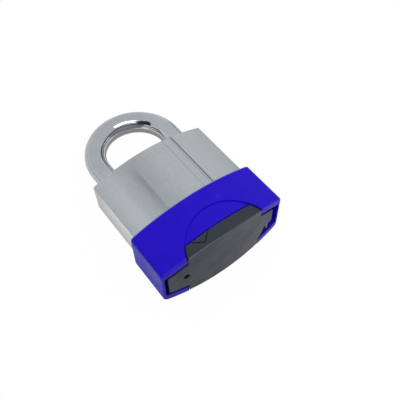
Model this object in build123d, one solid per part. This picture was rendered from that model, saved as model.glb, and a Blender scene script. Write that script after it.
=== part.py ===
from build123d import *
import os
from math import cos, radians, sin, sqrt

# A disc-cylinder padlock lying on its back: X runs across the lock, Y from the keyway to
# the shackle and Z out of the front. All sizes are in millimetres. Heights are measured
# along Y, up from the bumper's two lower corners.

# Body: a steel bar of lens section
BODY_WIDTH = 57.0
BODY_THICKNESS = 26.0
BODY_END_THICKNESS = 15.2
BODY_BOTTOM = 5.0
BODY_HEIGHT = 50.0
BODY_CORNER = 1.0
BODY_EDGE = 0.4
GROOVE_X = 12.1
GROOVE_WIDTH = 1.4
GROOVE_DEPTH = 0.4

# Shackle: a round bar with a long heel leg and a short toe leg
BAR_DIAMETER = 10.0
SHACKLE_WIDTH = 28.0
SHACKLE_CLEARANCE = 25.0
SHACKLE_LIFT = 18.5
LEG_CLEARANCE = 0.1
HEEL_COLLAR = 2.0
TOE_TIP = 1.2
TIP_CHAMFER = 1.0

# Locking balls and their driver
BALL_DIAMETER = 8.0
BALL_DEPTH = 9.0
BALL_BITE = 2.2
BALL_RUN = 0.05
BALL_CLEARANCE = 0.25
TOE_TRAVEL = 2.4
HEEL_TRAVEL = 1.6
DRIVER_TOP_MARGIN = 0.6
DRIVER_GAP = 0.1
DRIVER_FOOT_INSET = 0.65
TURN = 90.0

# Lock cylinder
ROTOR_DIAMETER = 14.0
ROTOR_WALL = 1.25
HOUSING_WALL = 1.55
CYLINDER_RUN = 0.05
FRONT_LIP = 1.5
FRONT_LIP_WIDTH = 1.0
PLATE_THICKNESS = 2.8
DISC_COUNT = 9
DISC_THICKNESS = 1.9
WASHER_THICKNESS = 0.5
STACK_PLAY = 0.2
DISC_PLAY = 0.1
ROTOR_END_WALL = 3.8
KEY_DIAMETER = 6.6
KEY_STEP = 15.0
KEY_CUTS = (0, 3, 1, 5, 2, 4, 1, 3, 0)
SIDEBAR_DIAMETER = 2.4
SIDEBAR_PLAY = 0.15
CIRCLIP_THICKNESS = 0.9
CIRCLIP_BITE = 0.7
CIRCLIP_GAP = 60.0
NECK_DEPTH = 0.8
NECK_LENGTH = 1.8
TONGUE_WIDTH = 9.0
TONGUE_THICKNESS = 3.0
TONGUE_LENGTH = 3.2
CYLINDER_PIN_DIAMETER = 3.0
CYLINDER_PIN_HEIGHT = 12.0
CYLINDER_PIN_BITE = 1.0
CYLINDER_PIN_FIT = 0.02

# Shackle spring
SPRING_WIRE = 0.9
SPRING_DIAMETER = 8.2
SPRING_TURNS = 6
SPRING_LENGTH = 9.0
SPRING_GAP = 0.05
DRAIN_DIAMETER = 2.8
DRAIN_X = -19.6

# Bumper: a moulded cover over the lower part of the body
BUMPER_TOP = 21.7
BUMPER_END_WALL = 2.1
BUMPER_FRONT_WALL = 2.8
BUMPER_FIT = 0.1
BUMPER_FLOOR = 1.6
BUMPER_CORNER = 3.0
BUMPER_EDGE = 0.6
RIM_DROP = 1.85
RIM_EDGE = 0.8
RIM_END_WALL = 1.2
RIM_FRONT_WALL = 3.75
KEY_WINDOW_MARGIN = 0.6
RECESS_RADIUS = 19.7
RECESS_CENTRE = -6.9
RECESS_STEP = 0.6
SNAP_RADIUS = 0.7
SNAP_HEIGHT = 17.0

# Flap: a moulded tray that swings on a pin at its right end
LIP_TOP = 4.2
LIP_SINK = 0.1
LIP_THICKNESS = 1.6
FLAP_GAP = 0.25
FLAP_EDGE = 0.35
FLAP_THICKNESS = 1.7
FLAP_RIM_GAP = 1.4
FLAP_CORNER = 0.8
FLAP_LEFT_END = -27.9
FLAP_RIGHT_END = 22.0
FLAP_END_RADIUS = 15.0
TAB_BACK = -2.3
TAB_CORNER = 1.4
HINGE_X = 24.6
HINGE_HEIGHT = 0.95
HINGE_PIN_DIAMETER = 1.6
HINGE_PIN_RUN = 0.05
HINGE_PIN_COVER = 0.8
KNUCKLE_DIAMETER = 3.0

# How far a cutting shape reaches past what it cuts
CUT_MARGIN = 1.0

# Places that follow from these sizes
BODY_TOP = BODY_BOTTOM + BODY_HEIGHT
LEG_X = (SHACKLE_WIDTH + BAR_DIAMETER) / 2
LEG_RADIUS = BAR_DIAMETER / 2
LEG_BORE_RADIUS = LEG_RADIUS + LEG_CLEARANCE
ARCH_HEIGHT = BODY_TOP + SHACKLE_CLEARANCE - SHACKLE_WIDTH / 2
SHACKLE_TOP = BODY_TOP + SHACKLE_CLEARANCE + BAR_DIAMETER

BALL_RADIUS = BALL_DIAMETER / 2
BALL_HEIGHT = BODY_TOP - BALL_DEPTH
BALL_OUT = SHACKLE_WIDTH / 2 + BALL_BITE - BALL_RADIUS
NOTCH_RADIUS = BALL_RADIUS + BALL_CLEARANCE
HEEL_NOTCH = BALL_HEIGHT - SHACKLE_LIFT
HEEL_END = HEEL_NOTCH - NOTCH_RADIUS - HEEL_COLLAR
HEEL_BORE_END = HEEL_END - SPRING_LENGTH
TOE_END = BALL_HEIGHT - NOTCH_RADIUS - TOE_TIP
DRIVER_RADIUS = BALL_OUT - BALL_RADIUS - BALL_CLEARANCE
DRIVER_TOP = BALL_HEIGHT + BALL_RADIUS + DRIVER_TOP_MARGIN
POCKET_BOTTOM = BALL_HEIGHT - BALL_RADIUS - DRIVER_TOP_MARGIN

ROTOR_RADIUS = ROTOR_DIAMETER / 2
HOUSING_RADIUS = ROTOR_RADIUS + CYLINDER_RUN + HOUSING_WALL
DRIVER_FOOT_RADIUS = HOUSING_RADIUS - DRIVER_FOOT_INSET
ROTOR_BORE_RADIUS = ROTOR_RADIUS - ROTOR_WALL
DISC_RADIUS = ROTOR_BORE_RADIUS - DISC_PLAY
PLATE_BOTTOM = BODY_BOTTOM + FRONT_LIP
STACK_BOTTOM = PLATE_BOTTOM + PLATE_THICKNESS
DISC_PITCH = DISC_THICKNESS + WASHER_THICKNESS
STACK_TOP = STACK_BOTTOM + DISC_COUNT * DISC_PITCH - WASHER_THICKNESS + STACK_PLAY
ROTOR_SHOULDER = STACK_TOP + ROTOR_END_WALL
ROTOR_TOP = ROTOR_SHOULDER + NECK_LENGTH
HOUSING_TOP = ROTOR_TOP + STACK_PLAY
DRIVER_BOTTOM = HOUSING_TOP + DRIVER_GAP
SIDEBAR_PLACE = ROTOR_RADIUS - SIDEBAR_DIAMETER / 2 - CYLINDER_RUN

FLOOR_BOTTOM = BODY_BOTTOM - BUMPER_FLOOR
BUMPER_HALF = BODY_WIDTH / 2 + BUMPER_FIT + BUMPER_END_WALL
LENGTH_MIDDLE = (SHACKLE_TOP - RIM_DROP) / 2
BACK = BODY_THICKNESS / 2 + BUMPER_FIT + BUMPER_FRONT_WALL
REACH = 2 * SHACKLE_TOP


# Shared shapes
def section_at(height):
    """Plane across the lock, with its own x to the right and its own y to the front."""
    return Plane(origin=(0, height, 0), x_dir=(1, 0, 0), z_dir=(0, -1, 0))


def prism(outline, low, high):
    """Solid with the given cross-section between two heights."""
    return extrude(section_at(high) * outline, amount=high - low)


def rod(radius, low, high, x=0.0, z=0.0):
    """Round bar along Y."""
    return prism(Pos(x, z) * Circle(radius), low, high)


def cross_rod(radius, left, right, height):
    """Round bar along X at the lock's mid-plane."""
    middle = Pos((left + right) / 2, height, 0)
    return middle * Rot(0, 90, 0) * Cylinder(radius, right - left)


def through_rod(radius, x, height, back, front):
    """Round bar along Z."""
    return Pos(x, height, (back + front) / 2) * Cylinder(radius, front - back)


def lens(end_gap, face_gap, corner):
    """The body's lens outline, grown by a gap at its ends and at its two faces."""
    half = BODY_WIDTH / 2 + end_gap
    side = BODY_END_THICKNESS / 2 + face_gap
    crown = BODY_THICKNESS / 2 + face_gap
    front = ThreePointArc((-half, side), (0, crown), (half, side))
    right = Line((half, side), (half, -side))
    back = ThreePointArc((half, -side), (0, -crown), (-half, -side))
    left = Line((-half, -side), (-half, side))
    outline = make_face([front, right, back, left])
    return fillet(outline.vertices(), corner)


def bumper_lens(end_inset, face_inset):
    """The bumper's outer outline, drawn in by an inset at its ends and at its faces."""
    end_gap = BUMPER_FIT + BUMPER_END_WALL - end_inset
    face_gap = BUMPER_FIT + BUMPER_FRONT_WALL - face_inset
    return lens(end_gap, face_gap, max(BUMPER_CORNER - face_inset, BODY_CORNER))


def rim_height(x):
    """Height of the bumper's convex underside at x."""
    radius = (BUMPER_HALF**2 + RIM_DROP**2) / (2 * RIM_DROP)
    return radius - RIM_DROP - sqrt(radius**2 - x**2)


def above_rim(offset, top):
    """Everything between the convex underside, raised by an offset, and a flat top."""
    ends = rim_height(BUMPER_HALF) + offset
    underside = ThreePointArc((-BUMPER_HALF, ends), (0, offset - RIM_DROP), (BUMPER_HALF, ends))
    frame = Polyline((BUMPER_HALF, ends), (BUMPER_HALF, top), (-BUMPER_HALF, top), (-BUMPER_HALF, ends))
    return extrude(make_face([underside, frame]), amount=REACH, both=True)


def recess_disc(radius, top):
    """The round thumb recess, right through from front to back, up to a flat top."""
    below = Pos(0, top - REACH / 2) * Rectangle(REACH, REACH)
    return extrude(Pos(0, RECESS_CENTRE) * Circle(radius) & below, amount=REACH, both=True)


# Body and shackle
def lock_body():
    body = prism(lens(0, 0, BODY_CORNER), BODY_BOTTOM, BODY_TOP)
    body -= rod(LEG_BORE_RADIUS, HEEL_BORE_END, BODY_TOP, -LEG_X)
    body -= rod(LEG_BORE_RADIUS, TOE_END - LEG_CLEARANCE, BODY_TOP, LEG_X)
    body = chamfer(body.faces().sort_by(Axis.Y)[-1].edges(), BODY_EDGE)
    body -= rod(HOUSING_RADIUS + CYLINDER_RUN, BODY_BOTTOM, HOUSING_TOP)
    body -= rod(DRIVER_FOOT_RADIUS + CYLINDER_RUN, HOUSING_TOP, POCKET_BOTTOM)
    body -= rod(DRIVER_RADIUS + CYLINDER_RUN, POCKET_BOTTOM, DRIVER_TOP + DRIVER_GAP)
    body -= cross_rod(BALL_RADIUS + BALL_RUN, -LEG_X, LEG_X, BALL_HEIGHT)
    body -= cross_rod(CYLINDER_PIN_DIAMETER / 2 + CYLINDER_PIN_FIT, 0, BODY_WIDTH, CYLINDER_PIN_HEIGHT)
    body -= rod(DRAIN_DIAMETER / 2, BODY_BOTTOM, HEEL_BORE_END, DRAIN_X)
    groove = Pos(GROOVE_X, BODY_THICKNESS / 2) * Rectangle(GROOVE_WIDTH, BODY_THICKNESS)
    skin = lens(0, 0, BODY_CORNER) - lens(0, -GROOVE_DEPTH, BODY_CORNER)
    body -= prism(groove & skin, BODY_BOTTOM, BODY_TOP)
    for side in (-1, 1):
        end = side * (BODY_WIDTH / 2 + BUMPER_FIT)
        body -= through_rod(SNAP_RADIUS + BUMPER_FIT, end, SNAP_HEIGHT, -BODY_THICKNESS, BODY_THICKNESS)
    return body


def shackle():
    toe = Line((LEG_X, TOE_END), (LEG_X, ARCH_HEIGHT))
    arch = ThreePointArc((LEG_X, ARCH_HEIGHT), (0, ARCH_HEIGHT + LEG_X), (-LEG_X, ARCH_HEIGHT))
    heel = Line((-LEG_X, ARCH_HEIGHT), (-LEG_X, HEEL_END))
    bar = sweep(section_at(TOE_END) * Pos(LEG_X, 0) * Circle(LEG_RADIUS), path=Wire([toe, arch, heel]))
    tips = bar.edges().filter_by(GeomType.CIRCLE).filter_by(lambda edge: edge.center().Y < BALL_HEIGHT)
    bar = chamfer(tips, TIP_CHAMFER)
    # Round notches for the heel ball, locked and lifted, with a shallow neck between them
    notch = Rot(90, 0, 0) * Torus(LEG_X - BALL_OUT, NOTCH_RADIUS)
    neck_radius = LEG_X - (BALL_OUT - HEEL_TRAVEL) - NOTCH_RADIUS
    neck = rod(BAR_DIAMETER, HEEL_NOTCH, BALL_HEIGHT) - rod(neck_radius, HEEL_NOTCH, BALL_HEIGHT)
    bar -= Pos(-LEG_X, HEEL_NOTCH, 0) * notch
    bar -= Pos(-LEG_X, BALL_HEIGHT, 0) * notch
    bar -= Pos(-LEG_X, 0, 0) * neck
    bar -= Pos(BALL_OUT, BALL_HEIGHT, 0) * Sphere(NOTCH_RADIUS)
    return bar


def shackle_spring():
    """Coil under the heel leg. Each quarter turn is a pair of arcs that join smoothly."""
    radius = (SPRING_DIAMETER - SPRING_WIRE) / 2
    low = HEEL_BORE_END + SPRING_WIRE / 2 + SPRING_GAP
    rise = SPRING_LENGTH - SPRING_WIRE - 2 * SPRING_GAP
    steps = 4 * SPRING_TURNS
    points, tangents = [], []
    for step in range(steps + 1):
        angle = radians(90.0 * step)
        points.append(Vector(radius * cos(angle) - LEG_X, low + rise * step / steps, radius * sin(angle)))
        climb = rise / (SPRING_TURNS * radians(360.0))
        tangents.append(Vector(-radius * sin(angle), climb, radius * cos(angle)).normalized())
    arcs = []
    for start, end, leave, arrive in zip(points, points[1:], tangents, tangents[1:]):
        chord = end - start
        along = chord.dot(leave + arrive)
        bend = 2 * (1 - leave.dot(arrive))
        reach = (sqrt(along**2 + bend * chord.dot(chord)) - along) / bend
        first, last = start + leave * reach, end - arrive * reach
        joint = (first + last) * 0.5
        arcs.append(TangentArc(start, joint, tangent=leave))
        arcs.append(TangentArc(joint, end, tangent=last - first))
    section = Plane(origin=points[0], z_dir=tangents[0]) * Circle(SPRING_WIRE / 2)
    print("spring: gap between turns", round(rise / SPRING_TURNS - SPRING_WIRE, 3), "mm")
    return sweep(section, path=Wire(arcs))


# Locking balls and their driver
def ball(place):
    return Pos(place, BALL_HEIGHT, 0) * Sphere(BALL_RADIUS)


def ball_track(side, travel):
    """Path of a ball's centre as the driver sees it, from retracted to locked."""
    places = []
    for share in (0.0, 0.5, 1.0):
        distance = side * (BALL_OUT - travel * (1 - share))
        angle = radians(-TURN * share)
        places.append((distance * cos(angle), distance * sin(angle)))
    return SlotArc(ThreePointArc(*places), 2 * NOTCH_RADIUS)


def ball_driver():
    driver = rod(DRIVER_FOOT_RADIUS, DRIVER_BOTTOM, POCKET_BOTTOM)
    driver += rod(DRIVER_RADIUS, POCKET_BOTTOM, DRIVER_TOP)
    pockets = ball_track(1, TOE_TRAVEL) + ball_track(-1, HEEL_TRAVEL)
    driver -= prism(pockets, POCKET_BOTTOM, DRIVER_TOP)
    slot = Rectangle(TONGUE_THICKNESS + DISC_PLAY, TONGUE_WIDTH + DISC_PLAY)
    return driver - prism(slot, DRIVER_BOTTOM, DRIVER_BOTTOM + TONGUE_LENGTH)


# Lock cylinder
def cylinder_housing():
    housing = rod(HOUSING_RADIUS, BODY_BOTTOM, HOUSING_TOP)
    housing -= rod(ROTOR_RADIUS + CYLINDER_RUN, PLATE_BOTTOM, HOUSING_TOP)
    housing -= rod(ROTOR_RADIUS - FRONT_LIP_WIDTH, BODY_BOTTOM, PLATE_BOTTOM)
    # Groove that takes the sidebar when the barrel stands locked
    groove_radius = SIDEBAR_DIAMETER / 2 + SIDEBAR_PLAY
    housing -= rod(groove_radius, STACK_BOTTOM, STACK_TOP, x=-ROTOR_RADIUS)
    clip_low = ROTOR_SHOULDER + DISC_PLAY
    clip_groove = ROTOR_RADIUS + CIRCLIP_BITE + CYLINDER_RUN
    housing -= rod(clip_groove, clip_low, clip_low + CIRCLIP_THICKNESS)
    pin_end = HOUSING_RADIUS - CYLINDER_PIN_BITE
    hole_radius = CYLINDER_PIN_DIAMETER / 2 + CYLINDER_PIN_FIT
    return housing - cross_rod(hole_radius, pin_end, BODY_WIDTH / 2, CYLINDER_PIN_HEIGHT)


def cylinder_pin():
    pin_end = HOUSING_RADIUS - CYLINDER_PIN_BITE
    pin = cross_rod(CYLINDER_PIN_DIAMETER / 2, pin_end, BODY_WIDTH / 2 - BODY_EDGE, CYLINDER_PIN_HEIGHT)
    return chamfer(pin.edges().filter_by(GeomType.CIRCLE), BODY_EDGE)


def rotor_circlip():
    inner = ROTOR_RADIUS - NECK_DEPTH + DISC_PLAY
    ring = Circle(ROTOR_RADIUS + CIRCLIP_BITE) - Circle(inner)
    half = radians(CIRCLIP_GAP / 2)
    upper = (REACH * cos(half), REACH * sin(half))
    lower = (REACH * cos(half), -REACH * sin(half))
    mouth = Polyline((0, 0), lower, upper, close=True)
    low = ROTOR_SHOULDER + DISC_PLAY
    return prism(ring - make_face(mouth), low, low + CIRCLIP_THICKNESS)


def sidebar_rod(radius, low, high):
    """Round bar at the sidebar's place in the barrel, in the unlocked position."""
    return rod(radius, low, high, z=SIDEBAR_PLACE)


def rotor_barrel():
    barrel = rod(ROTOR_RADIUS, STACK_BOTTOM, ROTOR_SHOULDER)
    barrel += rod(ROTOR_RADIUS - NECK_DEPTH, ROTOR_SHOULDER, ROTOR_TOP)
    tongue_top = DRIVER_BOTTOM + TONGUE_LENGTH - DRIVER_GAP
    barrel += prism(Rectangle(TONGUE_THICKNESS, TONGUE_WIDTH), ROTOR_TOP, tongue_top)
    barrel -= rod(ROTOR_BORE_RADIUS, STACK_BOTTOM, STACK_TOP)
    slot_width = SIDEBAR_DIAMETER + 2 * SIDEBAR_PLAY
    slot = Pos(0, ROTOR_RADIUS) * Rectangle(slot_width, 2 * (ROTOR_WALL + CUT_MARGIN))
    return barrel - prism(slot, STACK_BOTTOM, STACK_TOP)


def keyway(angle):
    """Half-round key slot, turned to an angle."""
    half = Pos(0, -KEY_DIAMETER / 2) * Rectangle(KEY_DIAMETER, KEY_DIAMETER)
    return Rot(0, 0, angle) * (Circle(KEY_DIAMETER / 2) & half)


def keyway_plate():
    plate = rod(ROTOR_RADIUS - DISC_PLAY, PLATE_BOTTOM, STACK_BOTTOM)
    return plate - prism(keyway(0), PLATE_BOTTOM, STACK_BOTTOM)


def disc_bottom(index):
    return STACK_BOTTOM + index * DISC_PITCH


def detainer_disc(index):
    low = disc_bottom(index)
    high = low + DISC_THICKNESS
    disc = rod(DISC_RADIUS, low, high) - prism(keyway(KEY_STEP * KEY_CUTS[index]), low, high)
    return disc - sidebar_rod(SIDEBAR_DIAMETER / 2 + SIDEBAR_PLAY, low, high)


def spacer_washer(index):
    low = disc_bottom(index) + DISC_THICKNESS
    high = low + WASHER_THICKNESS
    washer = rod(DISC_RADIUS, low, high) - rod(KEY_DIAMETER / 2, low, high)
    return washer - sidebar_rod(SIDEBAR_DIAMETER / 2 + SIDEBAR_PLAY, low, high)


def sidebar():
    bar = sidebar_rod(SIDEBAR_DIAMETER / 2, STACK_BOTTOM, STACK_TOP - STACK_PLAY)
    return chamfer(bar.edges().filter_by(GeomType.CIRCLE), SIDEBAR_PLAY)


# Bumper and flap
def rim_block(face_inset, top, top_edge, low_edge):
    """The bumper's outer form, drawn in at its faces, with rounded upper and lower edges."""
    block = prism(bumper_lens(0, face_inset), -RIM_DROP, top) & above_rim(0, top)
    block = fillet(block.faces().sort_by(Axis.Y)[-1].edges(), top_edge)
    return fillet(block.faces().sort_by(Axis.Y)[0].edges(), low_edge)


def face_at(x, end_inset, face_inset):
    """Distance from the mid-plane, at x, of the bumper's outer outline drawn in by two insets."""
    half = BUMPER_HALF - end_inset
    bulge = (BODY_THICKNESS - BODY_END_THICKNESS) / 2
    radius = (half**2 + bulge**2) / (2 * bulge)
    return BACK - face_inset - radius + sqrt(radius**2 - x**2)


def bumper():
    shell = rim_block(0, BUMPER_TOP, BUMPER_EDGE, RIM_EDGE)
    thumb_skin = bumper_lens(-CUT_MARGIN, -CUT_MARGIN) - bumper_lens(0, RECESS_STEP)
    shell -= prism(thumb_skin, -RIM_DROP, BUMPER_TOP) & recess_disc(RECESS_RADIUS, BUMPER_TOP)
    shell -= prism(lens(BUMPER_FIT, BUMPER_FIT, BODY_CORNER), BODY_BOTTOM, BUMPER_TOP)
    # Room for the flap: the hollow rim, the gap in its faces and the seat of the lip's edge
    shell -= prism(bumper_lens(RIM_END_WALL, RIM_FRONT_WALL), -RIM_DROP, FLOOR_BOTTOM)
    shell -= recess_disc(RECESS_RADIUS, FLOOR_BOTTOM)
    lip_depth = RECESS_STEP + LIP_SINK + LIP_THICKNESS + FLAP_GAP
    lip_skin = bumper_lens(-CUT_MARGIN, 0) - bumper_lens(-CUT_MARGIN, lip_depth)
    shell -= prism(lip_skin, FLOOR_BOTTOM, BUMPER_TOP) & recess_disc(RECESS_RADIUS, LIP_TOP)
    shell -= rod(HOUSING_RADIUS + KEY_WINDOW_MARGIN, FLOOR_BOTTOM, BODY_BOTTOM)
    shell -= rod(DRAIN_DIAMETER / 2, FLOOR_BOTTOM, BODY_BOTTOM, DRAIN_X)
    for side in (-1, 1):
        end = side * (BODY_WIDTH / 2 + BUMPER_FIT)
        reach = BODY_END_THICKNESS / 2
        shell += through_rod(SNAP_RADIUS, end, SNAP_HEIGHT, -reach, reach)
    return shell - hinge_pin()


def hinge_pin():
    reach = face_at(HINGE_X + HINGE_PIN_DIAMETER / 2, 0, HINGE_PIN_COVER)
    return through_rod(HINGE_PIN_DIAMETER / 2, HINGE_X, HINGE_HEIGHT, -reach, reach)


def flap_tray():
    """The middle of the flap: a floor with a raised lip at the front and at the back."""
    lip_face = RECESS_STEP + LIP_SINK
    tray = rim_block(lip_face, LIP_TOP - FLAP_GAP, FLAP_EDGE, FLAP_EDGE)
    tray &= recess_disc(RECESS_RADIUS - FLAP_GAP, LIP_TOP)
    hollow = prism(bumper_lens(-CUT_MARGIN, lip_face + LIP_THICKNESS), -RIM_DROP, LIP_TOP)
    return tray - (hollow & above_rim(FLAP_THICKNESS, LIP_TOP))


def flap_floor():
    """The two ends of the floor, inside the bumper's rim. The right one narrows to the hinge tab."""
    face_inset = RIM_FRONT_WALL + FLAP_RIM_GAP
    bend = FLAP_RIGHT_END - FLAP_END_RADIUS
    tab_end = HINGE_X + KNUCKLE_DIAMETER / 2
    reach = Pos((FLAP_LEFT_END + bend) / 2, 0) * Rectangle(bend - FLAP_LEFT_END, REACH)
    reach += Pos(bend, 0) * Circle(FLAP_END_RADIUS)
    reach += Pos((bend + tab_end) / 2, TAB_BACK + REACH / 2) * Rectangle(tab_end - bend, REACH)
    outline = bumper_lens(RIM_END_WALL, face_inset) & reach
    corners = outline.vertices().sort_by(Axis.X)
    outline = fillet(corners[2:], TAB_CORNER)
    outline = fillet(outline.vertices().sort_by(Axis.X)[:2], FLAP_CORNER)
    floor = prism(outline, -RIM_DROP, FLOOR_BOTTOM) & above_rim(0, FLOOR_BOTTOM)
    floor = fillet(floor.faces().sort_by(Axis.Y)[0].edges(), FLAP_EDGE)
    floor -= above_rim(FLAP_THICKNESS, FLOOR_BOTTOM + FLAP_THICKNESS)
    knuckle_front = face_at(tab_end, RIM_END_WALL, face_inset) - FLAP_GAP
    floor += through_rod(KNUCKLE_DIAMETER / 2, HINGE_X, HINGE_HEIGHT, TAB_BACK + FLAP_GAP, knuckle_front)
    return floor - recess_disc(RECESS_RADIUS - FLAP_GAP, LIP_TOP)


def keyway_flap():
    flap = flap_tray() + flap_floor()
    flap -= through_rod(HINGE_PIN_DIAMETER / 2 + HINGE_PIN_RUN, HINGE_X, HINGE_HEIGHT, -REACH, REACH)
    return flap - rod(DRAIN_DIAMETER / 2, -RIM_DROP, FLOOR_BOTTOM, DRAIN_X)


# The assembly
NODES = {
    "lock_body": lock_body(),
    "shackle": shackle(),
    "shackle_spring": shackle_spring(),
    "heel_ball": ball(HEEL_TRAVEL - BALL_OUT),
    "toe_ball": ball(BALL_OUT - TOE_TRAVEL),
    "ball_driver": ball_driver(),
    "cylinder_housing": cylinder_housing(),
    "cylinder_pin": cylinder_pin(),
    "rotor_barrel": rotor_barrel(),
    "rotor_circlip": rotor_circlip(),
    "keyway_plate": keyway_plate(),
    "sidebar": sidebar(),
    "bumper": bumper(),
    "flap_hinge_pin": hinge_pin(),
    "keyway_flap": keyway_flap(),
}
for index in range(DISC_COUNT):
    NODES[f"detainer_disc_{index + 1}"] = detainer_disc(index)
for index in range(DISC_COUNT - 1):
    NODES[f"spacer_washer_{index + 1}"] = spacer_washer(index)

# The lock lies on its back: its lowest line is at Z = 0 and its length is centred on Y = 0
os.makedirs("parts", exist_ok=True)
for name, shape in NODES.items():
    placed = Pos(0, -LENGTH_MIDDLE, BACK) * shape
    export_step(placed, f"parts/{name}.step")
print("height of the rim's corners", -LENGTH_MIDDLE, "and of the mid-plane", BACK)
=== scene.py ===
import bmesh
import bpy
from mathutils import Matrix, Vector


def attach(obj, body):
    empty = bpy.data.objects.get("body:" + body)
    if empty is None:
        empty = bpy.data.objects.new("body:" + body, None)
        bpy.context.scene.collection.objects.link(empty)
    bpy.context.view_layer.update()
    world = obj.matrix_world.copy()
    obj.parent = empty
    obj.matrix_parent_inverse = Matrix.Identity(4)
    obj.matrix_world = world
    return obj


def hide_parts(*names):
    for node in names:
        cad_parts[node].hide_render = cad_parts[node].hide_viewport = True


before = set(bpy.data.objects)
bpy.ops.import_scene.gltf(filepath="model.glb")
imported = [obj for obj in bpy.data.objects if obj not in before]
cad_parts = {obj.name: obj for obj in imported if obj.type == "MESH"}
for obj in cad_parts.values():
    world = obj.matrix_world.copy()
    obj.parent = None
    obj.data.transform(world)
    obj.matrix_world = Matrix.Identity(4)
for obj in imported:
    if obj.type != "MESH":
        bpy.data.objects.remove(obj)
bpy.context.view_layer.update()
scene = bpy.context.scene
scene.view_settings.view_transform = "Standard"

# The lock's own measures, in millimetres: x across the lock, y up from the bumper's lower
# corners towards the shackle, z out from the mid-plane to the front.
MM_PER_M = 1000.0
LOCK_ORIGIN = (0.0, 44.075, -15.9)
BODY_HALF_WIDTH, BODY_HALF_CROWN, BODY_BULGE = 28.5, 13.0, 5.4
BODY_LOW, BODY_HIGH = 5.0, 55.0
BUMPER_HALF_WIDTH, BUMPER_HALF_CROWN = 30.7, 15.9
BUMPER_HIGH, RIM_DROP = 21.7, 1.85
RIM_END_WALL, RIM_FRONT_WALL = 1.2, 3.75
RECESS_RADIUS, RECESS_CENTRE = 19.7, -6.9
LIP_INSET, LIP_SEAT, LIP_HIGH, FLAP_THICKNESS = 0.7, 4.2, 3.95, 1.7
DRAIN_X, DRAIN_RADIUS = -19.6, 1.4

# Places on the body's front: where the painted shade band runs, a scribed line and the groove
SHADE_BAND_X = -11.0
SCRIBED_LINE_X = 8.0
GROOVE_X, GROOVE_HALF = 12.1, 0.7

# Zones of painted light and shade across the body: x where each begins and x where it is full
PAINTED_LIGHT_ZONES = ((-2.0, 5.0), (10.0, 15.0))
STRIPE_INNER, STRIPE_OUTER = (-17.5, -21.5), (-28.0, -23.0)
WIDE_SHADE_LEFT, WIDE_SHADE_RIGHT = (-20.0, -12.0), (1.0, -9.5)

# Painted shade under the rim on the flap's floor: x from the middle, depth behind the lip's face
UNDER_RIM_X, FLOOR_EDGE_DEPTH = (17.7, 18.3), (5.2, 4.92)

# The opening arrow moulded into the flap's lip: corner points x, y on the front
ARROW = ((-13.3, 3.4), (-9.4, 0.3), (-5.8, 3.15))
ARROW_WIDTH = 0.5

# Colours that several marks and painted lights and shades share
HIGHLIGHT_STEEL, SHADE_AND_SCRIBE_STEEL = (0.86, 0.87, 0.88), (0.25, 0.265, 0.27)
BLACK_SHADE = (0.002, 0.002, 0.002)


# ---------------------------------------------------------------- node helpers
def feed(tree, socket, value):
    """Links an input to another node's output, or sets it to a plain value."""
    if isinstance(value, bpy.types.NodeSocket):
        tree.links.new(value, socket)
    else:
        socket.default_value = value


def place_node(tree, kind, inputs=None, **settings):
    """Adds a node, sets its options, and links or sets its inputs."""
    made = tree.nodes.new(kind)
    for option, value in settings.items():
        setattr(made, option, value)
    for socket, value in (inputs or {}).items():
        feed(tree, made.inputs[socket], value)
    return made


def calc(tree, operation, *values):
    """A Math node on sockets or numbers."""
    inputs = dict(enumerate(values))
    return place_node(tree, "ShaderNodeMath", inputs, operation=operation).outputs[0]


def product(tree, first, *others):
    """Several values multiplied, in their order."""
    for other in others:
        first = calc(tree, "MULTIPLY", first, other)
    return first


def distance(tree, value, place):
    """How far a value is from a place, to either side."""
    return calc(tree, "ABSOLUTE", calc(tree, "SUBTRACT", value, place))


def off_axis(tree, first, second):
    """Distance from the line where both coordinates are zero."""
    squares = [calc(tree, "POWER", part, 2.0) for part in (first, second)]
    return calc(tree, "SQRT", calc(tree, "ADD", *squares))


def ramp(tree, value, start, end, low=0.0, high=1.0, shape="LINEAR"):
    """Change of a value from low at start to high at end, and level beyond them."""
    inputs = {"Value": value, "From Min": start, "From Max": end, "To Min": low, "To Max": high}
    made = place_node(tree, "ShaderNodeMapRange", inputs, interpolation_type=shape)
    return made.outputs["Result"]


def fade(tree, value, start, end, low=0.0, high=1.0):
    """The same change, eased at both ends."""
    return ramp(tree, value, start, end, low, high, "SMOOTHSTEP")


def tint(tree, share, first, second):
    """Mix of two colours, each a socket or three numbers."""
    made = place_node(tree, "ShaderNodeMix", {0: share}, data_type="RGBA")
    for socket, colour in ((6, first), (7, second)):
        if not isinstance(colour, bpy.types.NodeSocket):
            colour = (*colour, 1.0)
        feed(tree, made.inputs[socket], colour)
    return made.outputs[2]


def stain(tree, base, mask, amount, colour):
    """A colour laid over a base where a mask says so, up to an amount."""
    return tint(tree, calc(tree, "MULTIPLY", mask, amount), base, colour)


def stretch(tree, vector, scale, location=(0.0, 0.0, 0.0)):
    """Scales and shifts coordinates."""
    inputs = {"Vector": vector, "Scale": scale, "Location": location}
    return place_node(tree, "ShaderNodeMapping", inputs).outputs[0]


def noise(tree, vector, scale, detail=2.0, roughness=0.5):
    """Noise from 0 to 1."""
    inputs = {"Vector": vector, "Scale": scale, "Detail": detail, "Roughness": roughness}
    return place_node(tree, "ShaderNodeTexNoise", inputs).outputs["Fac"]


def split(tree, vector):
    """The three coordinates of a vector."""
    return place_node(tree, "ShaderNodeSeparateXYZ", {0: vector}).outputs


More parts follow.
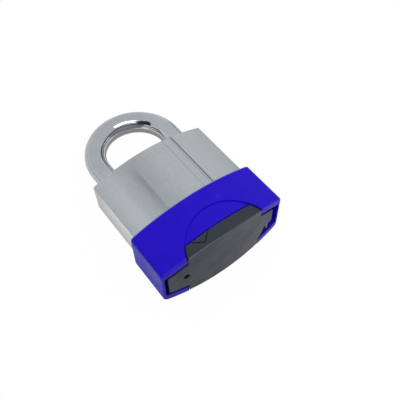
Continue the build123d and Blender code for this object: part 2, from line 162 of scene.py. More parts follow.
# ---------------------------------------------------------------- shared effects
def new_effect(name, inputs, outputs):
    """An empty shader node group with named sockets. An input without a value is a vector."""
    tree = bpy.data.node_groups.new(name, "ShaderNodeTree")
    for socket, value in inputs.items():
        kind = "NodeSocketVector" if value is None else "NodeSocketFloat"
        made = tree.interface.new_socket(socket, in_out="INPUT", socket_type=kind)
        if value is not None:
            made.default_value = value
    for socket in outputs:
        tree.interface.new_socket(socket, in_out="OUTPUT", socket_type="NodeSocketFloat")
    given = place_node(tree, "NodeGroupInput").outputs
    return tree, given, place_node(tree, "NodeGroupOutput").inputs


def tool_marks_effect():
    """Fine parallel marks. The vector is stretched along the marks before it comes in."""
    inputs = {"Vector": None, "Fine Share": 0.5}
    tree, given, out = new_effect("tool_marks", inputs, ["Marks", "Height"])
    fine = noise(tree, given["Vector"], 1.0, 3.0, 0.65)
    wider = stretch(tree, given["Vector"], (0.3, 0.22, 0.3), (7.0, 3.0, 5.0))
    broad = noise(tree, wider, 1.0, 2.0, 0.5)
    mixed = place_node(tree, "ShaderNodeMix", {0: given["Fine Share"], 2: broad, 3: fine})
    tree.links.new(ramp(tree, mixed.outputs[0], 0.28, 0.72), out["Marks"])
    tree.links.new(fine, out["Height"])
    return tree


def edge_of_block_effect():
    """Closeness to the edges of a lens-section block: 1 on an edge, 0 at the reach and beyond."""
    inputs = {
        "Vector": None, "Half Width": BODY_HALF_WIDTH, "Half Crown": BODY_HALF_CROWN,
        "Bulge": BODY_BULGE, "Low": BODY_LOW, "High": BODY_HIGH, "Low Drop": 0.0,
        "Reach": 0.8, "Break Up": 0.4,
    }
    tree, given, out = new_effect("edge_of_block", inputs, ["Edge", "To End", "To Face"])
    x, y, z = split(tree, given["Vector"])
    across = calc(tree, "DIVIDE", x, given["Half Width"])
    square = calc(tree, "MULTIPLY", across, across)
    to_end = calc(tree, "SUBTRACT", given["Half Width"], calc(tree, "ABSOLUTE", x))
    bulge = calc(tree, "MULTIPLY", given["Bulge"], square)
    crown = calc(tree, "SUBTRACT", given["Half Crown"], bulge)
    to_face = calc(tree, "SUBTRACT", crown, calc(tree, "ABSOLUTE", z))
    floor = calc(tree, "MULTIPLY", given["Low Drop"], calc(tree, "SUBTRACT", 1.0, square))
    to_low = calc(tree, "ADD", calc(tree, "SUBTRACT", y, given["Low"]), floor)
    to_top = calc(tree, "MINIMUM", to_low, calc(tree, "SUBTRACT", given["High"], y))
    # An edge is where the second nearest of the three faces is near too
    nearer = calc(tree, "MINIMUM", to_end, to_face)
    further = calc(tree, "MAXIMUM", to_end, to_face)
    second = calc(tree, "MAXIMUM", nearer, calc(tree, "MINIMUM", further, to_top))
    uneven = noise(tree, given["Vector"], 0.9, 3.0, 0.6)
    ragged = calc(tree, "ADD", second, calc(tree, "MULTIPLY", given["Break Up"], uneven))
    tree.links.new(fade(tree, ragged, 0.0, given["Reach"], 1.0, 0.0), out["Edge"])
    tree.links.new(to_end, out["To End"])
    tree.links.new(to_face, out["To Face"])
    return tree


def moulded_skin_effect():
    """The fine skin of moulded plastic: a spark-eroded grain and a slow drift of tone."""
    inputs = {"Vector": None, "Grain": 5.0}
    tree, given, out = new_effect("moulded_skin", inputs, ["Height", "Tone"])
    grain = noise(tree, given["Vector"], given["Grain"], 3.0, 0.6)
    drift = noise(tree, given["Vector"], 0.05, 2.0, 0.5)
    tree.links.new(grain, out["Height"])
    tree.links.new(ramp(tree, drift, 0.3, 0.7), out["Tone"])
    return tree


def handling_effect():
    """Traces of use: soft smudges and sparse hairline scratches."""
    inputs = {"Vector": None, "Smudge Size": 9.0}
    tree, given, out = new_effect("handling", inputs, ["Smudge", "Scratch"])
    scale = calc(tree, "DIVIDE", 1.0, given["Smudge Size"])
    patches = noise(tree, given["Vector"], scale, 3.0, 0.55)
    tree.links.new(fade(tree, patches, 0.38, 0.66), out["Smudge"])
    lines = []
    for turn, long_way in ((0.5, (0.035, 1.3, 0.2)), (-0.9, (1.1, 0.03, 0.2))):
        inputs = {"Vector": given["Vector"], "Rotation": (0.0, 0.0, turn)}
        turned = place_node(tree, "ShaderNodeMapping", inputs).outputs[0]
        wisps = noise(tree, stretch(tree, turned, long_way), 1.0, 1.0, 0.4)
        lines.append(fade(tree, distance(tree, wisps, 0.5), 0.0, 0.006, 1.0, 0.0))
    sparse = fade(tree, noise(tree, given["Vector"], 0.16, 1.0, 0.5), 0.5, 0.62)
    both = calc(tree, "MAXIMUM", *lines)
    tree.links.new(calc(tree, "MULTIPLY", both, sparse), out["Scratch"])
    return tree


TOOL_MARKS = tool_marks_effect()
EDGE_OF_BLOCK = edge_of_block_effect()
MOULDED_SKIN = moulded_skin_effect()
HANDLING = handling_effect()


def effect(tree, group, **values):
    """Places a shared effect in a material. Spaces in socket names are written as underscores."""
    inputs = {socket.replace("_", " "): value for socket, value in values.items()}
    return place_node(tree, "ShaderNodeGroup", inputs, node_tree=group).outputs


# ---------------------------------------------------------------- materials
def new_finish(name):
    """A material with its shader and the lock's own coordinates in millimetres."""
    material = bpy.data.materials.new(name)
    material.use_nodes = True
    tree = material.node_tree
    shader = tree.nodes["Principled BSDF"]
    coordinates = place_node(tree, "ShaderNodeTexCoord").outputs["Object"]
    lock = stretch(tree, coordinates, (MM_PER_M, MM_PER_M, MM_PER_M), LOCK_ORIGIN)
    return material, tree, shader, lock


def set_finish(tree, shader, colour, roughness, height, relief, **constants):
    """Feeds the shader: varying colour, roughness and relief in millimetres, and constants."""
    tree.links.new(colour, shader.inputs["Base Color"])
    tree.links.new(roughness, shader.inputs["Roughness"])
    bump = place_node(tree, "ShaderNodeBump", {"Height": height, "Distance": relief / MM_PER_M})
    tree.links.new(bump.outputs[0], shader.inputs["Normal"])
    for socket, value in constants.items():
        shader.inputs[socket.replace("_", " ")].default_value = value


def satin_steel():
    """The body: plated steel ground across the lock, with painted shade and painted highlights on
    its front.
    """
    material, tree, shader, lock = new_finish("satin_steel")
    x, y, z = split(tree, lock)
    along = stretch(tree, lock, (0.45, 6.5, 0.45))
    marks = effect(tree, TOOL_MARKS, Vector=along, Fine_Share=0.75)
    use = effect(tree, HANDLING, Vector=lock, Smudge_Size=12.0)
    edge = effect(
        tree, EDGE_OF_BLOCK, Vector=lock, Half_Width=BODY_HALF_WIDTH,
        Half_Crown=BODY_HALF_CROWN, Bulge=BODY_BULGE, Low=BODY_LOW, High=BODY_HIGH,
        Reach=0.7, Break_Up=0.3,
    )["Edge"]
    steel = tint(tree, marks["Marks"], (0.625, 0.645, 0.658), (0.80, 0.817, 0.825))
    # Cloudy plating
    cloud = fade(tree, noise(tree, lock, 0.8, 4.0, 0.7), 0.4, 0.65, 0.0, 0.13)
    steel = tint(tree, cloud, steel, (0.4, 0.41, 0.42))
    # Painted highlights: the front is lighter to the right, and a bright stripe on the left fades
    # upwards
    right = calc(tree, "ADD", *(fade(tree, x, *zone, 0.0, 0.2) for zone in PAINTED_LIGHT_ZONES))
    stripe = product(tree, fade(tree, x, *STRIPE_INNER), fade(tree, x, *STRIPE_OUTER),
                     fade(tree, y, 52.0, 26.0, 0.3, 0.62))
    steel = tint(tree, calc(tree, "ADD", right, stripe), steel, HIGHLIGHT_STEEL)
    # Painted shade, wide and faint, about the band
    wide_shade = product(tree, fade(tree, x, *WIDE_SHADE_LEFT), fade(tree, x, *WIDE_SHADE_RIGHT))
    steel = stain(tree, steel, wide_shade, 0.23, SHADE_AND_SCRIBE_STEEL)
    # Painted shade in a band down the front: slow on its left, ragged on its right, weaker at its
    # ends
    wander = calc(tree, "SUBTRACT", marks["Marks"], 0.5)
    ragged = calc(tree, "MULTIPLY_ADD", wander, 1.6, x)
    turning = SHADE_BAND_X + 0.2
    slow = calc(tree, "POWER", fade(tree, ragged, SHADE_BAND_X - 5.0, turning), 2.4)
    sharp = fade(tree, ragged, turning, SHADE_BAND_X + 1.4, 1.0, 0.0)
    ends = product(tree, fade(tree, y, 54.0, 42.0), fade(tree, y, 15.0, 36.0, 0.35, 1.0))
    below_end = fade(tree, y, BODY_HIGH - 0.05, BODY_HIGH - 0.3)
    front = product(tree, fade(tree, z, 8.0, 10.0), below_end)
    band = product(tree, slow, sharp, product(tree, ends, front))
    steel = stain(tree, steel, band, 0.42, SHADE_AND_SCRIBE_STEEL)
    # Scribed line beside the groove
    off_line = distance(tree, x, SCRIBED_LINE_X)
    scribed = product(tree, fade(tree, off_line, 0.12, 0.34, 1.0, 0.0), front)
    steel = stain(tree, steel, scribed, 0.3, SHADE_AND_SCRIBE_STEEL)
    # Painted shade in the groove, darkest in its two corners
    off_groove = distance(tree, x, GROOVE_X)
    inside = fade(tree, off_groove, GROOVE_HALF, GROOVE_HALF + 0.1, 0.08, 0.0)
    corners = fade(tree, distance(tree, off_groove, GROOVE_HALF), 0.06, 0.22, 0.45, 0.0)
    groove_shade = product(tree, calc(tree, "MAXIMUM", inside, corners), front)
    steel = tint(tree, groove_shade, steel, (0.13, 0.135, 0.14))
    # Painted shade on the end about the shackle's bores
    end_face_shade = fade(tree, y, BODY_HIGH - 0.15, BODY_HIGH - 0.05, 0.0, 0.35)
    steel = tint(tree, end_face_shade, steel, SHADE_AND_SCRIBE_STEEL)
    steel = stain(tree, steel, use["Scratch"], 0.2, (0.8, 0.81, 0.82))
    steel = stain(tree, steel, edge, 0.2, (0.82, 0.83, 0.84))
    rough = calc(tree, "MULTIPLY_ADD", marks["Marks"], 0.1, 0.33)
    rough = calc(tree, "MULTIPLY_ADD", use["Smudge"], 0.05, rough)
    height = calc(tree, "MULTIPLY_ADD", scribed, -2.5, marks["Height"])
    set_finish(tree, shader, steel, rough, height, 0.012, Metallic=1.0)
    return material


def polished_chrome():
    """The shackle: bright plating over a turned and bent bar, with fine scuffs from use."""
    material, tree, shader, lock = new_finish("polished_chrome")
    use = effect(tree, HANDLING, Vector=lock, Smudge_Size=7.0)
    ripple = noise(tree, lock, 0.3, 2.0, 0.45)
    chrome = tint(tree, use["Smudge"], (0.735, 0.75, 0.775), (0.70, 0.715, 0.74))
    # Painted shade over the left of the arch
    x, y, _ = split(tree, lock)
    arch_shade = product(tree, fade(tree, x, 20.0, 8.0, 0.0, 0.13), fade(tree, y, 57.0, 64.0))
    chrome = tint(tree, arch_shade, chrome, (0.4, 0.41, 0.43))
    chrome = stain(tree, chrome, use["Scratch"], 0.4, (0.52, 0.53, 0.55))
    rough = calc(tree, "MULTIPLY_ADD", use["Smudge"], 0.05, 0.075)
    rough = calc(tree, "MULTIPLY_ADD", use["Scratch"], 0.16, rough)
    set_finish(tree, shader, chrome, rough, ripple, 0.07, Metallic=1.0)
    return material


def bumper_plastic():
    """The bumper: blue moulded plastic, paler on its worn edges, with painted highlight and shade.
    """
    material, tree, shader, lock = new_finish("bumper_plastic")
    skin = effect(tree, MOULDED_SKIN, Vector=lock, Grain=4.5)
    use = effect(tree, HANDLING, Vector=lock, Smudge_Size=10.0)
    x, y, z = split(tree, lock)
    block = effect(
        tree, EDGE_OF_BLOCK, Vector=lock, Half_Width=BUMPER_HALF_WIDTH,
        Half_Crown=BUMPER_HALF_CROWN, Bulge=BODY_BULGE, Low=0.0, High=BUMPER_HIGH,
        Low_Drop=RIM_DROP, Reach=0.7, Break_Up=0.06,
    )
    edge, to_end, to_face = block["Edge"], block["To End"], block["To Face"]
    blue = tint(tree, skin["Tone"], (0.016, 0.001, 0.58), (0.020, 0.002, 0.63))
    blue = stain(tree, blue, use["Scratch"], 0.12, (0.16, 0.14, 0.72))
    blue = stain(tree, blue, edge, 0.3, (0.13, 0.10, 0.62))
    # A painted highlight: a pale line along the upper edge
    outermost = fade(tree, calc(tree, "MINIMUM", to_end, to_face), 0.15, 0.5, 0.6, 0.0)
    upper = fade(tree, y, BUMPER_HIGH - 0.75, BUMPER_HIGH - 0.4)
    blue = tint(tree, product(tree, outermost, upper), blue, (0.45, 0.44, 0.8))
    # Painted shade in the left end of the rim and in the gap beside the flap's lip
    past_end_wall = fade(tree, to_end, RIM_END_WALL - 0.25, RIM_END_WALL - 0.05)
    past_front_wall = fade(tree, to_face, RIM_FRONT_WALL - 0.4, RIM_FRONT_WALL - 0.05)
    at_end = fade(tree, to_end, 4.5, 2.0, 0.0, 0.85)
    ends = product(tree, past_end_wall, past_front_wall, at_end)
    from_centre = off_axis(tree, x, calc(tree, "SUBTRACT", y, RECESS_CENTRE))
    off_wall = distance(tree, from_centre, RECESS_RADIUS)
    beside_lip = fade(tree, y, LIP_SEAT, LIP_SEAT - 0.3)
    gap = product(tree, fade(tree, off_wall, 0.2, 0.42, 0.9, 0.0), beside_lip,
                  fade(tree, to_face, 3.2, 2.2))
    gap_shade = product(tree, calc(tree, "MAXIMUM", ends, gap), fade(tree, x, 4.0, -4.0))
    blue = tint(tree, gap_shade, blue, (0.002, 0.001, 0.015))
    # Painted shade darkens the rim's underside towards the back
    back_shade = product(tree, fade(tree, z, -4.0, -9.0, 0.0, 0.4), fade(tree, y, 2.0, 0.6))
    blue = tint(tree, back_shade, blue, (0.02, 0.015, 0.16))
    rough = calc(tree, "MULTIPLY_ADD", use["Smudge"], 0.07, 0.36)
    rough = calc(tree, "MULTIPLY_ADD", edge, 0.08, rough)
    set_finish(tree, shader, blue, rough, skin["Height"], 0.008, Specular_IOR_Level=0.13)
    return material


def flap_plastic():
    """The flap: dark grey moulded plastic, with a painted highlight along the ridge between its
    lip and its floor.
    """
    material, tree, shader, lock = new_finish("flap_plastic")
    skin = effect(tree, MOULDED_SKIN, Vector=lock, Grain=5.5)
    use = effect(tree, HANDLING, Vector=lock, Smudge_Size=8.0)
    x, _, z = split(tree, lock)
    block = effect(
        tree, EDGE_OF_BLOCK, Vector=lock, Half_Width=BUMPER_HALF_WIDTH,
        Half_Crown=BUMPER_HALF_CROWN - LIP_INSET, Bulge=BODY_BULGE, Low=0.0, High=LIP_HIGH,
        Low_Drop=RIM_DROP, Reach=0.28, Break_Up=0.06,
    )
    grey = tint(tree, skin["Tone"], (0.019, 0.025, 0.045), (0.023, 0.029, 0.051))
    grey = stain(tree, grey, use["Scratch"], 0.1, (0.12, 0.12, 0.13))
    # A painted highlight along the ridge, strongest towards its left end
    ridge_highlight = product(tree, block["Edge"], fade(tree, x, -8.0, 10.0, 0.95, 0.15))
    grey = tint(tree, ridge_highlight, grey, (0.42, 0.42, 0.44))
    # Painted shade in the drain hole
    off_hole = off_axis(tree, calc(tree, "SUBTRACT", x, DRAIN_X), z)
    hole_shade = fade(tree, off_hole, DRAIN_RADIUS, DRAIN_RADIUS + 0.12, 0.9, 0.0)
    grey = tint(tree, hole_shade, grey, BLACK_SHADE)
    # Painted shade along the floor's front edge, under the rim at both ends
    under_rim_shade = product(
        tree, fade(tree, block["To Face"], *FLOOR_EDGE_DEPTH, 0.0, 0.92),
        fade(tree, z, 2.0, 4.0), fade(tree, calc(tree, "ABSOLUTE", x), *UNDER_RIM_X),
    )
    grey = tint(tree, under_rim_shade, grey, BLACK_SHADE)
    rough = calc(tree, "MULTIPLY_ADD", use["Smudge"], 0.08, 0.42)
    set_finish(tree, shader, grey, rough, skin["Height"], 0.008, Specular_IOR_Level=0.5)
    return material


def moulded_mark():
    """The sunk lines of the flap's arrow: plastic much darker than the flap's."""
    material, tree, shader, lock = new_finish("moulded_mark")
    skin = effect(tree, MOULDED_SKIN, Vector=lock, Grain=9.0)
    dark = tint(tree, skin["Tone"], (0.006, 0.006, 0.008), (0.011, 0.011, 0.013))
    rough = calc(tree, "MULTIPLY_ADD", skin["Tone"], 0.1, 0.6)
    set_finish(tree, shader, dark, rough, skin["Height"], 0.01, Specular_IOR_Level=0.3)
    return material


def machined(name, dark, light, rough, stretching, relief=0.006):
    """Bare machined metal with the marks of its own tool, and tarnish in its smudges."""
    material, tree, shader, lock = new_finish(name)
    along = stretch(tree, lock, stretching)
    marks = effect(tree, TOOL_MARKS, Vector=along, Fine_Share=0.6)
    use = effect(tree, HANDLING, Vector=lock, Smudge_Size=5.0)
    metal = tint(tree, marks["Marks"], dark, light)
    metal = stain(tree, metal, use["Smudge"], 0.3, tuple(0.72 * part for part in dark))
    roughness = calc(tree, "MULTIPLY_ADD", marks["Marks"], 0.08, rough)
    roughness = calc(tree, "MULTIPLY_ADD", use["Smudge"], 0.06, roughness)
    set_finish(tree, shader, metal, roughness, marks["Height"], relief, Metallic=1.0)
    return material


# For machined metal: name, dark and light colour, least roughness, how its marks run, and its
# relief where it isn't the usual one. Turned: rings about Y. Stamped and ground: short marks
# across the face. Drawn: along the wire.
FINISHES = {
    "body_steel": satin_steel(),
    "shackle_chrome": polished_chrome(),
    "bumper_plastic": bumper_plastic(),
    "flap_plastic": flap_plastic(),
    "brass": machined(
        "turned_brass", (0.62, 0.43, 0.17), (0.74, 0.54, 0.24), 0.24, (0.05, 5.0, 0.05)),
    "disc_brass": machined(
        "stamped_brass", (0.58, 0.42, 0.19), (0.68, 0.51, 0.26), 0.32, (2.2, 0.4, 0.3)),
    "hardened_steel": machined(
        "ground_steel", (0.16, 0.165, 0.175), (0.24, 0.245, 0.255), 0.3, (0.12, 3.0, 1.4)),
    "ball_steel": machined(
        "bearing_steel", (0.62, 0.63, 0.65), (0.68, 0.69, 0.71), 0.06, (0.6, 0.6, 0.6), 0.002),
    "spring_steel": machined(
        "drawn_wire", (0.3, 0.31, 0.34), (0.42, 0.43, 0.45), 0.28, (0.9, 3.2, 0.9), 0.008),
}
MARK = moulded_mark()

# The discs and washers of the stack aren't listed: they share one finish
STACK_SLOT = "disc_brass"
SLOT_OF_NODE = {
    "lock_body": "body_steel", "shackle": "shackle_chrome", "bumper": "bumper_plastic",
    "keyway_flap": "flap_plastic", "shackle_spring": "spring_steel",
    "rotor_circlip": "spring_steel", "heel_ball": "ball_steel", "toe_ball": "ball_steel",
    "cylinder_housing": "brass", "rotor_barrel": "brass", "ball_driver": "hardened_steel",
    "cylinder_pin": "hardened_steel", "keyway_plate": "hardened_steel",
    "sidebar": "hardened_steel", "flap_hinge_pin": "hardened_steel",
}


def finish_nodes():
    """Gives every CAD node its finish."""
    for name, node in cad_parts.items():
        node.data.materials.clear()
        node.data.materials.append(FINISHES[SLOT_OF_NODE.get(name, STACK_SLOT)])


# ---------------------------------------------------------------- the flap's arrow
ARROW_SOCKETS = {
    "Geometry": "Geometry", "First Point": "Vector", "Corner": "Vector", "Last Point": "Vector",
    "Groove Radius": "Float", "Face Radius": "Float", "Face Centre": "Float",
    "Flap Material": "Material", "Groove Material": "Material",
}
# Points added along each line of the arrow, metres between points that are one, and the angle
# in radians from which an edge is sharp
ARROW_CUTS, MERGE_DISTANCE, SHARP_ANGLE = 11, 2e-6, 0.5


def arrow_tree():
    """Cuts a V-groove along a three-point path that lies on the flap's curved front."""
    tree = bpy.data.node_groups.new("arrow_groove", "GeometryNodeTree")
    sockets = {}
    for name, kind in ARROW_SOCKETS.items():
        made = tree.interface.new_socket(name, in_out="INPUT", socket_type="NodeSocket" + kind)
        sockets[name] = made.identifier
    tree.interface.new_socket("Geometry", in_out="OUTPUT", socket_type="NodeSocketGeometry")
    given = place_node(tree, "NodeGroupInput").outputs

    def geometry(kind, **inputs):
        """A Geometry Nodes node. Spaces in socket names are written as underscores."""
        named = {socket.replace("_", " "): value for socket, value in inputs.items()}
        return place_node(tree, "GeometryNode" + kind, named).outputs[0]

    path = geometry("CurvePrimitiveLine", Start=given["First Point"], End=given["Last Point"])
    path = geometry("ResampleCurve", Curve=path, Count=3)
    middle = calc(tree, "COMPARE", geometry("InputIndex"), 1.0, 0.1)
    path = geometry("SetPosition", Geometry=path, Selection=middle, Position=given["Corner"])
    path = geometry("SubdivideCurve", Curve=path, Cuts=ARROW_CUTS)
    # Lay the path on the front face, an arc about a line along Y
    x, y, _ = split(tree, geometry("InputPosition"))
    square = calc(tree, "MULTIPLY", x, x)
    reach = calc(tree, "POWER", given["Face Radius"], 2.0)
    rise = calc(tree, "SQRT", calc(tree, "SUBTRACT", reach, square))
    height = calc(tree, "ADD", given["Face Centre"], rise)
    place = place_node(tree, "ShaderNodeCombineXYZ", {"X": x, "Y": y, "Z": height}).outputs[0]
    path = geometry("SetPosition", Geometry=path, Position=place)
    profile = geometry("CurvePrimitiveCircle", Resolution=4, Radius=given["Groove Radius"])
    groove = geometry("CurveToMesh", Curve=path, Profile_Curve=profile, Fill_Caps=True)
    groove = geometry("SetMaterial", Geometry=groove, Material=given["Groove Material"])
    flap = geometry("SetMaterial", Geometry=given["Geometry"], Material=given["Flap Material"])
    cut = place_node(tree, "GeometryNodeMeshBoolean", {0: flap, 1: groove},
                     operation="DIFFERENCE", solver="EXACT").outputs[0]
    real = geometry("RealizeInstances", Geometry=cut)
    sunk = geometry("MaterialSelection", Material=given["Groove Material"])
    done = geometry("SetMaterial", Geometry=real, Selection=sunk,
                    Material=given["Groove Material"])
    place_node(tree, "NodeGroupOutput", {0: done})
    return tree, sockets


def on_front(point):
    """A point of the arrow, given in the lock's millimetres, in the frame's metres."""
    lock_point = (*point, 0.0)
    return tuple((part - origin) / MM_PER_M for part, origin in zip(lock_point, LOCK_ORIGIN))


def merged_copy(node, name):
    """A node's mesh with its loose triangles joined, as a new object."""
    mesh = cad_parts[node].data.copy()
    mesh.name = name
    shape = bmesh.new()
    shape.from_mesh(mesh)
    bmesh.ops.remove_doubles(shape, verts=shape.verts, dist=MERGE_DISTANCE)
    shape.to_mesh(mesh)
    shape.free()
    made = bpy.data.objects.new(name, mesh)
    scene.collection.objects.link(made)
    return made


def true_normals(mesh, rounds):
    """Gives round faces their true normals, which the cut leaves uneven.

    A round is an axis, the centre along the third axis from X, and a radius."""
    near, aligned = 1e-4, 0.98
    normals = [Vector()] * len(mesh.loops)
    for face in mesh.polygons:
        for loop in face.loop_indices:
            point = mesh.vertices[mesh.loops[loop].vertex_index].co
            for axis, centre, radius in rounds:
                out = point.copy()
                out[axis] = 0.0
                out[3 - axis] -= centre
                outward = face.normal.dot(out.normalized())
                if abs(out.length - radius) < near and abs(outward) > aligned:
                    normals[loop] = out.normalized() * (1.0 if outward > 0.0 else -1.0)
    mesh.normals_split_custom_set(normals)


def arc_radius(half_width, sagitta):
    """Radius in metres of an arc with this half width and rise in millimetres."""
    return (half_width**2 + sagitta**2) / (2.0 * MM_PER_M * sagitta)


def marked_flap():
    """The flap with its arrow, in place of the plain CAD one."""
    flap = merged_copy("keyway_flap", "flap_with_arrow")
    tree, sockets = arrow_tree()
    face = arc_radius(BUMPER_HALF_WIDTH, BODY_BULGE)
    centre = (BUMPER_HALF_CROWN - LIP_INSET - LOCK_ORIGIN[2]) / MM_PER_M - face
    groover = flap.modifiers.new("arrow_groove", "NODES")
    groover.node_group = tree
    first, corner, last = (on_front(point) for point in ARROW)
    for name, value in (
        ("First Point", first), ("Corner", corner), ("Last Point", last),
        ("Groove Radius", ARROW_WIDTH / 2.0 / MM_PER_M), ("Face Radius", face),
        ("Face Centre", centre),
        ("Flap Material", FINISHES["flap_plastic"]), ("Groove Material", MARK),
    ):
        groover[sockets[name]] = value
    ready = flap.evaluated_get(bpy.context.evaluated_depsgraph_get())
    mesh = bpy.data.meshes.new_from_object(ready)
    flap.modifiers.clear()
    flap.data = mesh
    mesh.shade_smooth()
    mesh.set_sharp_from_angle(angle=SHARP_ANGLE)
    sweep = arc_radius(BUMPER_HALF_WIDTH, RIM_DROP)
    low = sweep - (RIM_DROP + LOCK_ORIGIN[1]) / MM_PER_M
    back = -2.0 * LOCK_ORIGIN[2] / MM_PER_M - centre
    along_y, along_z = 1, 2
    true_normals(mesh, (
        (along_y, centre, face), (along_y, back, face),
        (along_z, low, sweep), (along_z, low + FLAP_THICKNESS / MM_PER_M, sweep),
    ))
    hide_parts("keyway_flap")
    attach(flap, "flap")


# ---------------------------------------------------------------- studio
UNLIT_SIDE, WINDOW_GLOW, WHITE = (0.075, 0.08, 0.09), (1.2, 1.2, 1.2), (1.0, 1.0, 1.0)
HORIZON_GREY, SKY_GREY = (0.62, 0.63, 0.64), (0.53, 0.56, 0.585)
LEFT_LIGHT, RIGHT_LIGHT = (0.56, 0.565, 0.57), (0.82, 0.825, 0.83)
FLAG_BLACK = (0.01, 0.01, 0.01)

# The floor: metres, and levels as a share of white
FLOOR_HALF, FLOOR_SINK = 3.0, 0.0002
FLOOR_MATT, FLOOR_GLOW, FLOOR_WHITE = (0.5, 0.5, 0.5), 0.935, 1.04
LOOP_Y, LOOP_REACH, LOOP_LEVELS = 0.028, (0.013, 0.024), (0.32, 0.66)
OPEN_FRONT_LEVEL, FAR_LEVEL = 0.29, -0.26


def studio_world():
    """White to the eye, plain level for diffuse light, and a soft grey sky in reflections."""
    world = bpy.data.worlds.new("studio")
    scene.world = world
    world.use_nodes = True
    tree = world.node_tree
    path = place_node(tree, "ShaderNodeLightPath").outputs
    x, y, z = split(tree, place_node(tree, "ShaderNodeTexCoord").outputs["Generated"])
    mirrored = tint(tree, fade(tree, z, 0.0, 0.5), HORIZON_GREY, SKY_GREY)
    # The unlit side of the room, low down to the front and lower still towards the right
    side = calc(tree, "MULTIPLY_ADD", x, 0.25, calc(tree, "MULTIPLY", y, -0.97))
    to_right = calc(tree, "MAXIMUM", calc(tree, "SUBTRACT", x, 0.35), 0.0)
    sloped = calc(tree, "MULTIPLY_ADD", to_right, 0.45, z)
    unlit = product(tree, fade(tree, side, 0.05, 0.25), fade(tree, sloped, 0.46, 0.62, 1.0, 0.0))
    # A dark strip along the horizon, to the right and a little to the left, higher behind
    right = product(tree, fade(tree, x, 0.25, 0.45), fade(tree, y, 0.7, 0.58))
    left = product(tree, fade(tree, x, -0.68, -0.76), fade(tree, y, 0.5, 0.62, 1.0, 0.0))
    behind = product(tree, fade(tree, y, -0.25, 0.0, 0.0, 0.12), fade(tree, y, 0.6, 0.42))
    low_down = fade(tree, calc(tree, "SUBTRACT", z, behind), 0.1, 0.2, 1.0, 0.0)
    strip = product(tree, calc(tree, "MAXIMUM", right, left), low_down)
    mirrored = tint(tree, calc(tree, "MAXIMUM", unlit, strip), mirrored, UNLIT_SIDE)
    # A small far window to the left
    window = product(tree, fade(tree, z, 0.25, 0.28), fade(tree, z, 0.32, 0.36, 1.0, 0.0),
                     fade(tree, y, 0.35, 0.45))
    mirrored = tint(tree, product(tree, left, window), mirrored, WINDOW_GLOW)
    # Diffuse light a little stronger from the right
    even = tint(tree, fade(tree, x, -0.8, 0.8), LEFT_LIGHT, RIGHT_LIGHT)
    plain = tint(tree, path["Is Glossy Ray"], even, mirrored)
    clear = calc(tree, "MAXIMUM", path["Is Camera Ray"], path["Is Transmission Ray"])
    tree.links.new(tint(tree, clear, plain, WHITE), tree.nodes["Background"].inputs["Color"])


def flat_card(name, half, turn):
    """A square card of this half size, moved by a matrix in its own mesh."""
    shape = bmesh.new()
    bmesh.ops.create_grid(shape, x_segments=1, y_segments=1, size=half)
    mesh = bpy.data.meshes.new(name)
    shape.to_mesh(mesh)
    shape.free()
    mesh.transform(turn)
    card = bpy.data.objects.new(name, mesh)
    scene.collection.objects.link(card)
    return card


def card_material(card, name, colour):
    """Gives a card a material of one colour."""
    material = bpy.data.materials.new(name)
    material.use_nodes = True
    shader = material.node_tree.nodes["Principled BSDF"]
    shader.inputs["Base Color"].default_value = (*colour, 1.0)
    card.data.materials.append(material)
    return material.node_tree, shader


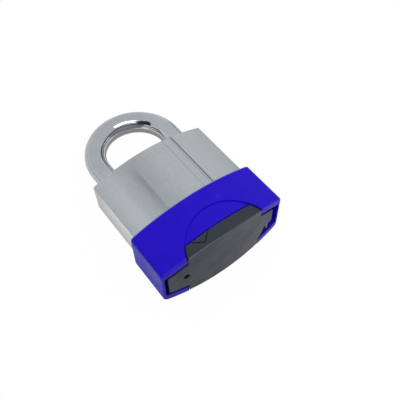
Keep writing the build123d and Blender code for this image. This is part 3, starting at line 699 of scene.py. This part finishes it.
def studio_floor():
    """A pale floor that stays white in the picture and keeps a faint shadow."""
    floor = flat_card("studio_floor", FLOOR_HALF, Matrix.Translation((0.0, 0.0, -FLOOR_SINK)))
    tree, matt = card_material(floor, "pale_floor", FLOOR_MATT)
    matt.inputs["Roughness"].default_value = 0.9
    matt.inputs["Specular IOR Level"].default_value = 0.0
    path = place_node(tree, "ShaderNodeLightPath").outputs
    # In reflections the floor is darker inside the shackle, and brighter in front to the right
    # and left of the lock
    x, y, _ = split(tree, place_node(tree, "ShaderNodeTexCoord").outputs["Object"])
    open_front = product(tree, fade(tree, x, -0.012, 0.03), fade(tree, y, -0.02, -0.045))
    from_loop = off_axis(tree, x, calc(tree, "SUBTRACT", y, LOOP_Y))
    level = fade(tree, from_loop, *LOOP_REACH, *LOOP_LEVELS)
    level = calc(tree, "MULTIPLY_ADD", open_front, OPEN_FRONT_LEVEL, level)
    beside = product(tree, fade(tree, x, -0.033, -0.042, -0.16, 0.62), fade(tree, y, 0.022, 0.012))
    strip = product(tree, fade(tree, x, -0.029, -0.031), fade(tree, x, -0.09, -0.06))
    level = calc(tree, "ADD", level, product(tree, beside, strip))
    # It falls off far to the left, behind
    far = product(tree, fade(tree, x, -0.06, -0.25), fade(tree, y, 0.01, 0.04))
    level = calc(tree, "MULTIPLY_ADD", far, FAR_LEVEL, level)
    bright = ramp(tree, path["Is Glossy Ray"], 0.0, 1.0, FLOOR_WHITE, level)
    glow = place_node(tree, "ShaderNodeEmission", {"Color": (*WHITE, 1.0), "Strength": bright})
    seen = calc(tree, "MAXIMUM", path["Is Camera Ray"], path["Is Glossy Ray"])
    seen = calc(tree, "MAXIMUM", seen, path["Is Transmission Ray"])
    share = calc(tree, "MULTIPLY", seen, FLOOR_GLOW)
    shaders = {0: share, 1: matt.outputs[0], 2: glow.outputs[0]}
    mixed = place_node(tree, "ShaderNodeMixShader", shaders)
    tree.links.new(mixed.outputs[0], tree.nodes["Material Output"].inputs["Surface"])


def facing(place, aim):
    """The turn of a lamp or card at a place that faces its aim."""
    return (Vector(place) - Vector(aim)).to_track_quat("Z", "Y")


def softbox(name, place, aim, width, height, power):
    """A rectangular area light."""
    light = bpy.data.lights.new(name, "AREA")
    light.shape, light.size, light.size_y, light.energy = "RECTANGLE", width, height, power
    lamp = bpy.data.objects.new(name, light)
    scene.collection.objects.link(lamp)
    lamp.matrix_world = Matrix.LocRotScale(Vector(place), facing(place, aim), None)


def dark_flag(name, place, aim, width, height):
    """A dark card that only reflections show."""
    size = Vector((width, height, 1.0))
    flag = flat_card(name, 0.5, Matrix.LocRotScale(Vector(place), facing(place, aim), size))
    card_material(flag, name, FLAG_BLACK)
    flag.visible_camera = flag.visible_diffuse = flag.visible_shadow = False


# ---------------------------------------------------------------- camera
CAMERA_LENS, CAMERA_SENSOR, CAMERA_NEAR = 48.967, 36.0, 0.01
CAMERA_PLACE = (-0.073879, -0.129154, 0.212704)
CAMERA_TURN = (
    (0.797132, 0.500335, -0.338003),
    (-0.603702, 0.650077, -0.461458),
    (-0.011156, 0.571896, 0.82025),
)


def photo_camera():
    """A camera at the photo's angle."""
    lens = bpy.data.cameras.new("photo_camera")
    lens.lens, lens.sensor_width, lens.clip_start = CAMERA_LENS, CAMERA_SENSOR, CAMERA_NEAR
    camera = bpy.data.objects.new("photo_camera", lens)
    scene.collection.objects.link(camera)
    camera.matrix_world = Matrix.LocRotScale(Vector(CAMERA_PLACE), Matrix(CAMERA_TURN), None)
    scene.camera = camera


photo_camera()
studio_world()
studio_floor()
softbox("strip_light", place=(-0.02, -0.22, 0.47), aim=(0.0, 0.03, 0.02),
        width=0.46, height=0.22, power=0.55)
dark_flag("left_flag", place=(-0.291, -0.098, 0.326), aim=(0.012, 0.031, 0.0195),
          width=0.285, height=0.3)
finish_nodes()
marked_flap()
